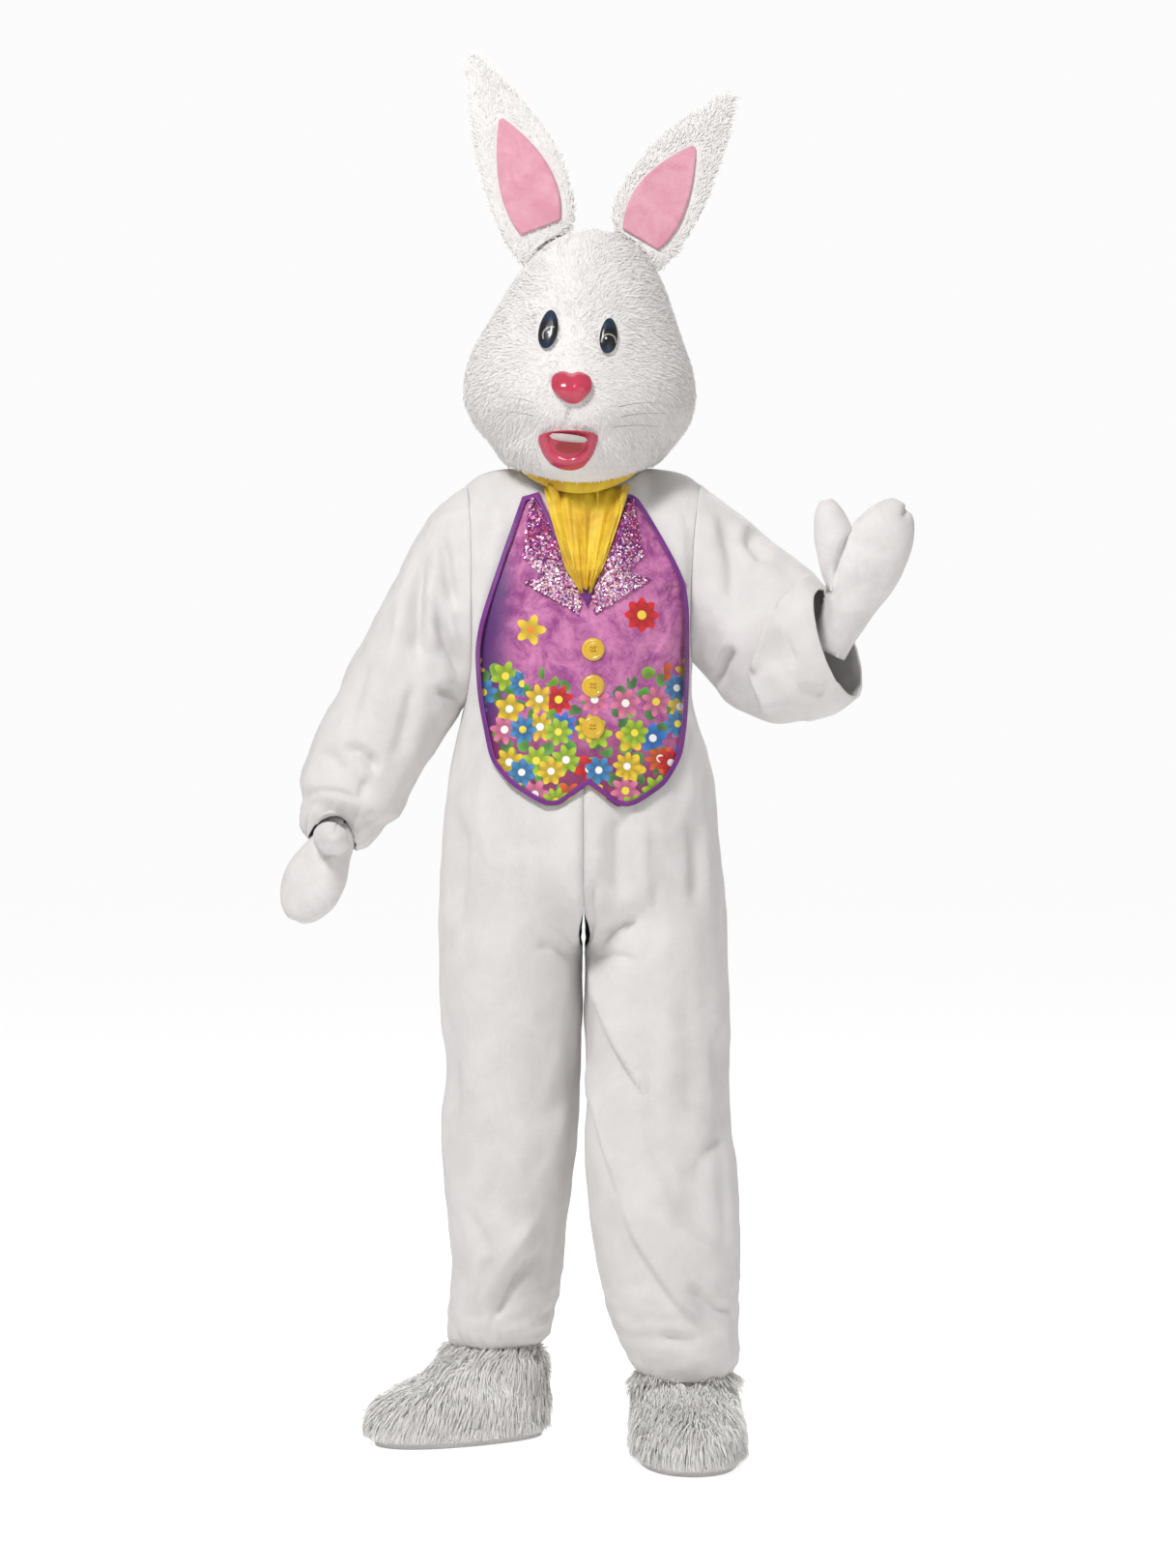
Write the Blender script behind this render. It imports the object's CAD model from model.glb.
"""The looks of a white rabbit mascot costume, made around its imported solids.

Metres, +Z up, -Y towards the camera. The origin is the hold at the wearer's neck, HOLD_HEIGHT over the
floor, so a height over the floor is a z of height - HOLD_HEIGHT.
"""

import math
from collections import namedtuple
from functools import partial

import bmesh
import bpy
import numpy as np
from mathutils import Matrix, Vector, noise
from mathutils.bvhtree import BVHTree


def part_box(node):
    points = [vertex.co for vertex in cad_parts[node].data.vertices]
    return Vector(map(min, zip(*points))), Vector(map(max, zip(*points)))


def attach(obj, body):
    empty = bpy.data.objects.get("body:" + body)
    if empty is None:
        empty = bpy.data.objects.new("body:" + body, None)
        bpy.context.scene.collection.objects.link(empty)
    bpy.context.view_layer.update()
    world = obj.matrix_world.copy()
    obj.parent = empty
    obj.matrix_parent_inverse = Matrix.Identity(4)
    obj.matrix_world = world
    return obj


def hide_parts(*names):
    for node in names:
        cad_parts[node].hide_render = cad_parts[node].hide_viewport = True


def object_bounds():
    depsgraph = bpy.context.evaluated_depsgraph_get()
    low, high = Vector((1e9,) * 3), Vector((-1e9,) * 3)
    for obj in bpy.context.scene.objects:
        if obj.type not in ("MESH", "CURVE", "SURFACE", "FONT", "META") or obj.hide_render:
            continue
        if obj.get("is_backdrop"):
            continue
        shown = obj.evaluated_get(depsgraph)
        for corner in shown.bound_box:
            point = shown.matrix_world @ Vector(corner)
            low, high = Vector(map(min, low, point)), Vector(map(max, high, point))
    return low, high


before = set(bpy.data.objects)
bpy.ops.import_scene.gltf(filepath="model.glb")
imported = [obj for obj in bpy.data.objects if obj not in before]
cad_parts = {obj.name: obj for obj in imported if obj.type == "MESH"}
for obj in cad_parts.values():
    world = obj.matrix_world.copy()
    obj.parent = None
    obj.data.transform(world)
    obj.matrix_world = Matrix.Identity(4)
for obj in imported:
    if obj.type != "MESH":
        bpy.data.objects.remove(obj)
cad_low, cad_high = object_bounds()
bpy.ops.object.select_all(action="DESELECT")
HOLD_HEIGHT = -cad_low.z


# The plush suit: four long quarter panels from shoulder to ankle and two set-in sleeves, cut from
# short-pile knitted plush and sewn right sides together, so each seam shows as a soft furrow. The hems
# and cuffs are gathered by elastic. Worn loose, it hangs in long soft folds.
PLUSH_LIGHT = (0.8, 0.775, 0.762)
PLUSH_SHADE = (0.735, 0.708, 0.697)
SEAM_WIDTH = 0.0045
SEAM_DEPTH = 0.0024
SEAM_QUIET = 0.028
MIDDLE_X = -0.0065
CROTCH_Z = 0.729 - HOLD_HEIGHT
LEG_MIDDLES = {-1: (-0.115, 0.035), 1: (0.112, -0.035)}
PANEL_LEVELS = 3
SHOULDER_DROP = 0.006

Crease = namedtuple("Crease", "face x0 h0 x1 h1 bow width depth")
FOLD_STRENGTH = 1.35
FRONT, BACK = -1, 1


def crease_rows(face, rows):
    """Creases of one face from rows in mm: x and height of both ends, bow, width and depth."""
    return [Crease(face, *(value / 1000 for value in row)) for row in rows]


SUIT_CREASES = crease_rows(FRONT, [
    (-205, 1385, -197, 1250, 10, 10, -7), (-196, 1360, -180, 1180, -8, 9, -6),
    (-140, 1400, -176, 1300, 6, 12, -5), (140, 1400, 160, 1280, 6, 9, -7),
    (152, 1330, 150, 1190, 6, 8, -5), (-24, 958, -18, 760, 4, 14, 7),
    (14, 950, 4, 775, 4, 10, 5), (50, 955, 52, 800, -4, 12, -10),
    (80, 950, 84, 790, -4, 12, 5), (150, 945, 156, 790, 6, 12, -9),
    (-192, 960, -204, 740, 6, 14, -12), (-150, 945, -142, 800, 4, 12, 5),
    (-90, 925, -96, 770, 4, 11, -4), (-6, 730, 17, 856, 4, 7, -9),
    (14, 750, 76, 786, 6, 8, -9), (6, 722, 74, 722, 6, 8, -5),
    (-14, 738, -52, 778, -6, 8, -5), (-16, 720, -85, 742, -6, 9, -4),
    (70, 520, 130, 330, -8, 14, 6), (140, 262, 213, 205, -6, 9, -10),
    (118, 330, 190, 290, 6, 12, 6), (95, 190, 170, 176, -6, 8, -6),
    (190, 640, 200, 420, 6, 14, -7), (205, 470, 150, 400, -6, 12, -6),
    (130, 690, 150, 470, 8, 16, -4), (-20, 640, -60, 470, 8, 12, -4),
    (-62, 350, -168, 188, -12, 11, 10), (-52, 300, -152, 166, -14, 10, -11),
    (-122, 290, -184, 205, -6, 9, -6), (-196, 360, -150, 280, 8, 10, -7),
    (-190, 660, -204, 450, -6, 14, -8), (-120, 680, -132, 480, -6, 16, -3),
]) + crease_rows(BACK, [
    (-150, 1390, -160, 1230, 8, 12, -8), (130, 1390, 140, 1240, -8, 12, -8),
    (-120, 1180, 70, 1120, 14, 14, -7), (110, 1150, -60, 1080, -12, 13, 7),
    (-160, 1060, 20, 1000, 12, 13, -9), (150, 1000, 10, 960, 10, 12, -6),
    (-10, 770, -110, 700, -12, 12, -10), (0, 770, 110, 690, 12, 12, -10),
    (-20, 720, -140, 640, -12, 12, 7), (10, 720, 150, 630, 12, 12, 7),
    (-60, 520, -190, 440, -10, 13, -9), (-50, 440, -170, 380, -8, 12, 7),
    (40, 530, 180, 450, 10, 13, -9), (50, 450, 170, 380, 8, 12, 7),
    (-80, 280, -170, 220, -6, 10, -9), (70, 270, 170, 200, 6, 10, -9),
])
SUIT_FOLDS = crease_rows(FRONT, [
    (-6, 730, 95, 510, -10, 5, 13), (-4, 600, 46, 370, -6, 5, 10),
    (40, 390, 178, 180, -16, 5, 12), (-150, 170, -48, 320, 14, 5, 9),
]) + crease_rows(BACK, [
    (-30, 690, -150, 480, 10, 6, 10), (120, 420, 40, 620, 10, 6, 10),
])
SLEEVE_CREASES = crease_rows(FRONT, [
    (-212, 1350, -190, 1230, -6, 8, -12), (-193, 1240, -172, 1138, 4, 9, -10),
    (-240, 1330, -246, 1150, -10, 9, -13), (-226, 1300, -222, 1160, -6, 10, 8),
    (-226, 1235, -170, 1126, -4, 9, -10), (-224, 1117, -172, 1115, -4, 7, -9),
    (-275, 1290, -300, 1120, 8, 13, 6), (-256, 1140, -286, 1010, 8, 11, -7),
    (-318, 1180, -352, 1040, -6, 11, -6), (-362, 1036, -304, 992, 12, 8, -12),
    (-404, 1030, -352, 990, 8, 11, -7), (-436, 960, -322, 946, 18, 5, -6),
    (-320, 992, -330, 952, -4, 7, -6), (190, 1395, 208, 1230, 12, 13, -10),
    (236, 1362, 266, 1300, -4, 10, -9), (214, 1185, 190, 1115, -4, 9, -12),
    (282, 1212, 302, 1146, -4, 10, -8), (310, 1130, 344, 1108, -6, 8, -6),
    (262, 1096, 330, 1072, -8, 9, -6),
]) + crease_rows(BACK, [
    (-230, 1380, -210, 1240, -10, 12, -10), (-290, 1290, -250, 1130, -12, 12, -9),
    (-340, 1170, -230, 1090, -12, 12, -10), (-380, 1080, -280, 1000, -10, 11, -9),
    (-400, 990, -310, 950, -8, 10, -7), (210, 1370, 195, 1220, 10, 12, -10),
    (280, 1290, 220, 1180, 12, 12, -10), (320, 1230, 270, 1110, 10, 11, 8),
])
SLEEVE_FOLDS = crease_rows(FRONT, [
    (323, 1290, 262, 1232, 6, 5, 12), (266, 1236, 230, 1138, 6, 5, 14),
    (230, 1146, 264, 1074, 6, 5, 12),
])
HEM_GATHERS = 23
HEM_GATHER_DEPTH = 0.0018
HEM_HEIGHTS = {-1: 0.15, 1: 0.125}
CUFF_TOP = 0.978
CUFF_CLOSE = 0.015
CUFF_FRILLS = 19
CUFF_FRILL_DEPTH = 0.0022


def feed(tree, socket, value):
    """Sets a socket to a number or a colour, or links an output to it."""
    if isinstance(value, bpy.types.NodeSocket):
        tree.links.new(value, socket)
    else:
        socket.default_value = (*value, 1) if isinstance(value, tuple) else value


def set_inputs(tree, node, **inputs):
    """Feeds a node's inputs by name, with _ for a space."""
    for label, value in inputs.items():
        feed(tree, node.inputs[label.replace("_", " ")], value)
    return node


def add_node(tree, kind, settings=(), **inputs):
    node = tree.nodes.new(f"ShaderNode{kind}")
    for label, value in dict(settings).items():
        setattr(node, label, value)
    return set_inputs(tree, node, **inputs)


def start_material(name):
    """A new material with its node tree and its Principled shader."""
    material = bpy.data.materials.new(name)
    material.use_nodes = True
    return material, material.node_tree, material.node_tree.nodes["Principled BSDF"]


def new_group(name, inputs, outputs):
    """An empty shader group with named number inputs and outputs, and its two end nodes."""
    tree = bpy.data.node_groups.new(name, "ShaderNodeTree")
    for label, value in inputs.items():
        socket = tree.interface.new_socket(label, in_out="INPUT", socket_type="NodeSocketFloat")
        socket.default_value = value
    for label in outputs:
        tree.interface.new_socket(label, in_out="OUTPUT", socket_type="NodeSocketFloat")
    return tree, tree.nodes.new("NodeGroupInput"), tree.nodes.new("NodeGroupOutput")


def mix_colours(tree, factor, first, second):
    """A colour between two, led by a 0 to 1 output."""
    return add_node(tree, "Mix", {"data_type": "RGBA"}, A=first, B=second, Factor=factor).outputs["Result"]


def build_nap_group():
    """Pile cloth: a fine fibre height, and a slow mask of where the nap is brushed darker."""
    group, ends_in, ends_out = new_group(
        "pile_nap", {"Fibre Scale": 700.0, "Brush Scale": 14.0}, ["Pile", "Brushed"])
    place = add_node(group, "TexCoord").outputs["Object"]
    fibre = add_node(
        group, "TexNoise", Vector=place, Scale=ends_in.outputs["Fibre Scale"], Detail=3.0, Roughness=0.65)
    brush = add_node(
        group, "TexNoise", Vector=place, Scale=ends_in.outputs["Brush Scale"], Detail=5.0, Roughness=0.62,
        Distortion=0.6)
    spread = add_node(group, "MapRange", Value=brush.outputs["Fac"], From_Min=0.36, From_Max=0.66)
    set_inputs(group, ends_out, Pile=fibre.outputs["Fac"], Brushed=spread.outputs["Result"])
    return group


pile_nap = build_nap_group()


def nap_material(name, light, shade, fibre_scale, brush_scale, depth, **inputs):
    """Two tones led by the nap's brushing, with its fibres as bump."""
    material, tree, shader = start_material(name)
    nap = add_node(
        tree, "Group", {"node_tree": pile_nap}, Fibre_Scale=fibre_scale, Brush_Scale=brush_scale).outputs
    bump = add_node(tree, "Bump", Distance=depth, Height=nap["Pile"])
    colour = mix_colours(tree, nap["Brushed"], light, shade)
    set_inputs(tree, shader, Base_Color=colour, Normal=bump.outputs["Normal"], **inputs)
    return material


def plush_material(name, light, shade, fibre_scale=700.0, brush_scale=14.0, depth=0.0012):
    return nap_material(name, light, shade, fibre_scale, brush_scale, depth, Roughness=0.95,
                        Specular_IOR_Level=0.15, Sheen_Weight=0.25, Sheen_Roughness=0.45)


def add_object(name, mesh):
    piece = bpy.data.objects.new(name, mesh)
    bpy.context.scene.collection.objects.link(piece)
    return piece


def place_piece(piece, node=None):
    """Puts a finished piece on the root body and the CAD node it stands for."""
    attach(piece, "root")
    if node:
        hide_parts(node)


def copy_node(node, name, levels, material, crease_angle=50):
    """A finer copy of a CAD node: triangles merged to quads, sharp edges kept, then subdivided."""
    piece = add_object(name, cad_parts[node].data.copy())
    piece.data.materials.clear()
    piece.data.materials.append(material)
    mesh = bmesh.new()
    mesh.from_mesh(piece.data)
    bmesh.ops.remove_doubles(mesh, verts=mesh.verts, dist=1e-5)
    bmesh.ops.join_triangles(
        mesh, faces=mesh.faces, angle_face_threshold=math.radians(30), angle_shape_threshold=math.radians(60))
    sharpness = mesh.edges.layers.float.new("crease_edge")
    for edge in mesh.edges:
        if edge.calc_face_angle(0) > math.radians(crease_angle):
            edge[sharpness] = 1.0
    mesh.to_mesh(piece.data)
    mesh.free()
    apply_modifier(piece, "SUBSURF", levels=levels, render_levels=levels)
    piece.data.shade_smooth()
    return piece


def apply_modifier(piece, kind, **settings):
    modifier = piece.modifiers.new(kind.lower(), kind)
    for label, value in settings.items():
        setattr(modifier, label, value)
    bpy.ops.object.select_all(action="DESELECT")
    piece.select_set(True)
    bpy.context.view_layer.objects.active = piece
    bpy.ops.object.modifier_apply(modifier=modifier.name)
    piece.select_set(False)


def points_of(piece, label="co"):
    """All of a mesh's points, or their normals, as an array."""
    values = np.empty(len(piece.data.vertices) * 3, np.float32)
    piece.data.vertices.foreach_get(label, values)
    return values.reshape(-1, 3).astype(float)


def set_points(piece, points):
    piece.data.vertices.foreach_set("co", points.astype(np.float32).ravel())
    piece.data.update()


def heights_of(points):
    """Heights over the floor."""
    return points[:, 2] + HOLD_HEIGHT


def unit(vectors):
    return vectors / np.maximum(np.linalg.norm(vectors, axis=1), 1e-9)[:, None]


def ease(values):
    """Zero below 0, one above 1, and smooth between."""
    values = np.clip(values, 0.0, 1.0)
    return values * values * (3 - 2 * values)


def trough_profile(across):
    """A soft trough or ridge."""
    return np.exp(-across * across)


def fold_profile(across):
    """Cloth that steps up sharply at its line and sinks back slowly on the upper side."""
    return ease(across / 1.6 + 0.5) * np.exp(-np.clip(across - 0.8, 0, None) / 7)


def crease_depth(points, creases, profile=trough_profile):
    """How far the creases move each point outwards, seen from front or back."""
    depth = np.zeros(len(points))
    for crease in creases:
        start = np.array((crease.x0, crease.h0))
        line = np.array((crease.x1, crease.h1)) - start
        length = np.linalg.norm(line)
        line /= length
        side = np.array((-line[1], line[0]))
        place = np.stack((points[:, 0], heights_of(points)), axis=1) - start
        along = place @ line / length
        bow = crease.bow * 4 * np.clip(along, 0, 1) * (1 - np.clip(along, 0, 1))
        across = (place @ side - bow) / crease.width
        ends = ease(along / 0.3) * ease((1 - along) / 0.3)
        facing = ease(points[:, 1] * crease.face / 0.05)
        depth += FOLD_STRENGTH * crease.depth * profile(across) * ends * facing
    return depth


def slow_noise(points, scales, seed):
    """Smooth noise from -1 to 1 at each point, with a scale along each axis."""
    offset = Vector((seed * 7.31, seed * 3.17, seed * 5.53))
    stretched = points * np.array(scales)
    return np.array([noise.noise(Vector(point) + offset) for point in stretched])


def outward_of(points, lines, round_ends=False):
    """Unit ways that point straight out from the nearest of some middle lines."""
    best = np.full(len(points), np.inf)
    ways = np.zeros_like(points)
    for start, end in lines:
        start, end = np.array(start), np.array(end)
        length = np.linalg.norm(end - start)
        line = (end - start) / length
        offset = points - start
        along = offset @ line
        if round_ends:
            along = np.clip(along, 0, length)
        away = offset - np.outer(along, line)
        distance = np.linalg.norm(away, axis=1)
        nearer = distance < best
        best[nearer] = distance[nearer]
        ways[nearer] = away[nearer] / np.maximum(distance[nearer], 1e-6)[:, None]
    return ways


def suit_outward(points):
    """Out from the body's mid line above the crotch, and from each leg's own line below it."""
    legs = np.where((points[:, 0] < MIDDLE_X)[:, None], LEG_MIDDLES[-1], LEG_MIDDLES[1])
    body = ease((points[:, 2] - CROTCH_Z + 0.02) / 0.14)[:, None]
    ways = np.zeros_like(points)
    ways[:, :2] = points[:, :2] - (legs * (1 - body) + np.array((MIDDLE_X, 0)) * body)
    return unit(ways)


def joined_tree(names):
    """One search tree over the faces of some CAD nodes."""
    points, faces = [], []
    for name in names:
        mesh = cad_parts[name].data
        start = len(points)
        points.extend(vertex.co.copy() for vertex in mesh.vertices)
        faces.extend([start + corner for corner in face.vertices] for face in mesh.polygons)
    return BVHTree.FromPolygons(points, faces)


def distance_to(points, tree, reach):
    """How far each point is from a tree's faces, up to a reach."""
    found = [tree.find_nearest(Vector(point), reach)[3] for point in points]
    return np.array([reach if distance is None else distance for distance in found])


plush = plush_material("suit_plush", PLUSH_LIGHT, PLUSH_SHADE)
laid_tree = joined_tree([
    "vest_panel", "vest_binding", "lapel_left", "lapel_right", "ascot", "neck_band", "mask_face", "mask_back"])
inside_tree = joined_tree(["boot_left", "boot_right", "mitt_left", "mitt_right"])
sleeve_tree = joined_tree(["sleeve_left", "sleeve_right"])
PANELS = ["suit_front_left", "suit_front_right", "suit_back_left", "suit_back_right"]
TOUCH_REACH = 0.02
TOUCH_SPARE = 0.0012
PRESSED_IN = 0.0026


def keep_clear(points, depth):
    """Cloth doesn't rise into what lies on it, or sink into what it is worn over."""
    laid = distance_to(points, laid_tree, TOUCH_REACH)
    over = np.clip(laid - TOUCH_SPARE, 0, None)
    under = np.clip(distance_to(points, inside_tree, TOUCH_REACH) - TOUCH_SPARE, 0, None)
    pressed = PRESSED_IN * ease((0.008 - laid) / 0.005)
    return np.clip(depth, -under, over) - pressed


def seam_quiet(points, tree):
    """Nought where two sewn pieces meet, one away from there."""
    return ease((distance_to(points, tree, SEAM_QUIET) - 0.001) / (SEAM_QUIET - 0.002))


for side, leg in (("left", -1), ("right", 1)):
    for face in ("front", "back"):
        name = f"suit_{face}_{side}"
        panel = copy_node(name, f"{name}_plush", PANEL_LEVELS, plush)
        points = points_of(panel)
        outward = suit_outward(points)
        heights = heights_of(points)
        depth = crease_depth(points, SUIT_CREASES) + crease_depth(points, SUIT_FOLDS, fold_profile)
        long_folds = slow_noise(points, (24, 24, 5), 1) * 0.0052
        small_folds = slow_noise(points, (44, 44, 26), 2) * 0.0018
        hem_folds = slow_noise(points, (30, 30, 60), 3) * 0.004 * ease((0.34 - heights) / 0.16)
        crotch_quiet = 1 - 0.6 * np.exp(-((heights - 0.72) / 0.05) ** 2)
        depth += (long_folds + small_folds + hem_folds) * crotch_quiet
        turn = np.arctan2(points[:, 1] - LEG_MIDDLES[leg][1], points[:, 0] - LEG_MIDDLES[leg][0])
        over_hem = heights - HEM_HEIGHTS[leg]
        uneven = 1 + 0.5 * slow_noise(points, (30, 30, 0), 6)
        depth += np.cos(turn * HEM_GATHERS) * HEM_GATHER_DEPTH * uneven * np.exp(-np.abs(over_hem) / 0.022)
        other_panels = joined_tree([other for other in PANELS if other != name])
        seam = np.exp(-(distance_to(points, other_panels, 0.02) / SEAM_WIDTH) ** 2)
        depth -= seam * SEAM_DEPTH
        depth *= seam_quiet(points, sleeve_tree)
        by_sleeve = np.exp(-(distance_to(points, sleeve_tree, SEAM_QUIET) / 0.014) ** 2)
        points = points + outward * keep_clear(points, depth)[:, None]
        points[:, 2] -= SHOULDER_DROP * by_sleeve * ease((heights - 1.375) / 0.025)
        set_points(panel, points)
        place_piece(panel, name)

SLEEVE_LINES = {
    "left": [((-0.205, 0.0, 1.24), (-0.29, -0.015, 1.1)),
             ((-0.29, -0.015, 1.1), (-0.385, -0.048, 0.885))],
    "right": [((0.185, 0.0, 1.27), (0.28, -0.035, 1.2)),
              ((0.28, -0.035, 1.2), (0.37, -0.098, 1.185))],
}
panel_tree = joined_tree(PANELS)
drop = np.array((0, 0, HOLD_HEIGHT))
for side, lines in SLEEVE_LINES.items():
    name = f"sleeve_{side}"
    sleeve = copy_node(name, f"{name}_plush", PANEL_LEVELS, plush)
    points = points_of(sleeve)
    outward = outward_of(points, np.array(lines) - drop)
    depth = crease_depth(points, SLEEVE_CREASES) + crease_depth(points, SLEEVE_FOLDS, fold_profile)
    depth += slow_noise(points, (22, 22, 14), 4) * 0.005 + slow_noise(points, (48, 48, 40), 5) * 0.0018
    depth *= seam_quiet(points, panel_tree)
    if side == "left":
        turn = np.arctan2(outward[:, 1], outward[:, 0])
        frill = np.cos(turn * CUFF_FRILLS + 2 * slow_noise(points, (30, 30, 30), 18)) * CUFF_FRILL_DEPTH
        at_cuff = ease((CUFF_TOP - heights_of(points) - 0.35 * (points[:, 0] + 0.4)) / 0.03)
        depth += (frill - CUFF_CLOSE) * at_cuff
    set_points(sleeve, points + outward * keep_clear(points, depth)[:, None])
    place_piece(sleeve, name)


# The boot covers: long-pile fur sewn in a boot shape, the shaft held under the trouser hem, each on a
# plush sole that shows below the toe. The fur is combed down and towards the toe.
BOOT_FUR_LIGHT = (0.95, 0.935, 0.915)
BOOT_FUR_SHADE = (0.88, 0.86, 0.84)
FUR_SOFTNESS = 0.8
FUR_SCATTER = 0.12
BOOT_INSET = 0.013
BOOT_STRANDS = 18000
BOOT_STRAND = 0.036
BOOT_STRAND_WIDTH = 0.0019
HEM_OVER_SHAFT = 0.04


def fur_material(name, light, shade):
    """Strand fur: each strand has its own tone, darker at its root."""
    material, tree, shader = start_material(name)
    tone = add_node(tree, "Attribute", {"attribute_name": "tone"}).outputs["Fac"]
    set_inputs(tree, shader, Base_Color=mix_colours(tree, tone, shade, light), Roughness=0.85,
               Specular_IOR_Level=0.2, Sheen_Weight=0.2)
    return material


def sample_faces(piece, count, random, allowed=None):
    """Places spread evenly over a mesh by area: points and normals."""
    mesh = piece.data
    mesh.calc_loop_triangles()
    corners = np.empty(len(mesh.loop_triangles) * 3, np.int32)
    mesh.loop_triangles.foreach_get("vertices", corners)
    corners = points_of(piece)[corners].reshape(-1, 3, 3)
    normals = np.cross(corners[:, 1] - corners[:, 0], corners[:, 2] - corners[:, 0])
    areas = np.linalg.norm(normals, axis=1)
    normals /= np.maximum(areas, 1e-12)[:, None]
    if allowed is not None:
        areas = areas * allowed(corners.mean(axis=1), normals)
    chosen = random.choice(len(areas), count, p=areas / areas.sum())
    first, second = np.sqrt(random.random(count)), random.random(count)
    shares = np.stack((1 - first, first * (1 - second), first * second), axis=1)
    return np.einsum("ij,ijk->ik", shares, corners[chosen]), normals[chosen]


def grow_fur(name, skin, combs, lengths, random, material, width, rise, clumps, droop, root_tone, facings=None):
    """Strands as thin tapered blades that rise from a furred skin and bend the way it is combed."""
    roots, normals = skin
    facings = normals if facings is None else facings
    count = len(roots)
    swirl = np.stack([slow_noise(roots, (24, 24, 24), seed) for seed in (11, 12, 13)], axis=1)
    tufts = np.stack([slow_noise(roots, (110, 110, 110), seed) for seed in (14, 15, 16)], axis=1)
    combs = combs + (swirl * 2 + tufts) * clumps + random.normal(0, 0.2, (count, 3))
    combs = unit(combs - normals * np.sum(combs * normals, axis=1)[:, None])
    start_way = unit(normals * rise + combs * (1 - rise) + random.normal(0, 0.08, (count, 3)))
    end_way = unit(normals * rise * 0.35 + combs + np.array((0, 0, -droop)))
    half = lengths[:, None] * 0.5
    middles = roots + start_way * half
    tips = middles + end_way * half
    across = unit(np.cross(start_way, facings) + random.normal(0, 0.3, (count, 3)))
    widths = (width * (0.7 + 0.6 * random.random(count)))[:, None] * 0.5
    sunk = roots - normals * 0.001
    points = np.stack((
        sunk - across * widths, sunk + across * widths,
        middles - across * widths * 0.8, middles + across * widths * 0.8, tips), axis=1)
    mesh = bpy.data.meshes.new(name)
    base = np.arange(count) * 5
    quads = np.stack((base, base + 1, base + 3, base + 2), axis=1)
    ends = np.stack((base + 2, base + 3, base + 4), axis=1)
    mesh.from_pydata(points.reshape(-1, 3).tolist(), [], quads.tolist() + ends.tolist())
    tone = mesh.attributes.new("tone", "FLOAT", "POINT")
    own = np.clip(0.74 + 0.16 * swirl[:, 0] + 0.16 * tufts[:, 0] + random.normal(0, 0.1, count), 0, 1)
    tones = own[:, None] * np.array((root_tone, root_tone, 0.92, 0.92, 1.1))
    tone.data.foreach_set("value", np.clip(tones, 0, 1).astype(np.float32).ravel())
    mesh.materials.append(material)
    mesh.shade_smooth()
    blade_faces = unit(np.cross(across, start_way))
    soft = unit(facings * FUR_SOFTNESS + blade_faces + random.normal(0, FUR_SCATTER, (count, 3)))
    mesh.normals_split_custom_set_from_vertices(np.repeat(soft, 5, axis=0).tolist())
    return add_object(name, mesh)


def draw_in(piece, lines, amount):
    """Both walls of a skin moved in alike, which leaves room for its fur inside the solid's outline."""
    points = points_of(piece)
    set_points(piece, points - outward_of(points, lines, round_ends=True) * amount(points)[:, None])


def outer_side(lines):
    """A test that keeps fur to the outside of a hollow skin."""
    def test(centres, ways):
        return np.sum(ways * outward_of(centres, lines, round_ends=True), axis=1) > 0.05
    return test


Boot = namedtuple("Boot", "ankle_x ankle_y toe_x toe_y seed")
BOOTS = {
    "left": Boot(-0.134, 0.062, -0.262, -0.018, 20),
    "right": Boot(0.142, -0.082, 0.146, -0.222, 21),
}
boot_skin = plush_material("boot_skin", BOOT_FUR_SHADE, BOOT_FUR_SHADE)
boot_fur = fur_material("boot_fur", BOOT_FUR_LIGHT, BOOT_FUR_SHADE)
for side, boot in BOOTS.items():
    name = f"boot_{side}"
    low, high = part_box(name)
    skin = copy_node(name, f"{name}_skin", 2, boot_skin)
    hem_height = high.z - HEM_OVER_SHAFT
    foot_height = low.z + 0.04
    ankle = (boot.ankle_x, boot.ankle_y, foot_height)
    shaft_top = (boot.ankle_x, boot.ankle_y, high.z)
    middle_lines = [(ankle, shaft_top), (ankle, (boot.toe_x, boot.toe_y, foot_height))]

    def boot_inset(points):
        over_sole = ease((points[:, 2] - low.z) / 0.02)
        under_hem = ease((hem_height + 0.006 - points[:, 2]) / 0.012)
        return BOOT_INSET * over_sole * under_hem

    draw_in(skin, middle_lines, boot_inset)
    outside = outer_side(middle_lines)

    def boot_grows(centres, ways):
        return outside(centres, ways) * (centres[:, 2] < hem_height) * (ways[:, 2] > -0.6)

    random = np.random.default_rng(boot.seed)
    roots, ways = sample_faces(skin, BOOT_STRANDS, random, boot_grows)
    toe_way = unit(np.array([[boot.toe_x - boot.ankle_x, boot.toe_y - boot.ankle_y, 0.0]]))[0]
    flat_top = np.clip(ways[:, 2], 0, 1)[:, None]
    combs = ways * np.array((0.8, 0.8, 0)) + toe_way * (0.25 + 0.75 * flat_top) + np.array((0, 0, -0.95))
    lengths = BOOT_STRAND * (0.6 + 0.6 * random.random(len(roots)))
    lengths *= np.clip((roots[:, 2] - low.z + 0.012) / 0.04, 0.35, 1)
    fur = grow_fur(f"{name}_fur", (roots, ways), combs, lengths, random, boot_fur,
                   BOOT_STRAND_WIDTH, rise=0.4, clumps=0.4, droop=0.3, root_tone=0.74)
    strands = points_of(fur)
    strands[:, 2] = np.maximum(strands[:, 2], low.z - 0.004)
    set_points(fur, strands)
    place_piece(skin, name)
    place_piece(fur)
    sole = copy_node(f"sole_{side}", f"sole_{side}_plush", 2, plush)
    place_piece(sole, f"sole_{side}")


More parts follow.
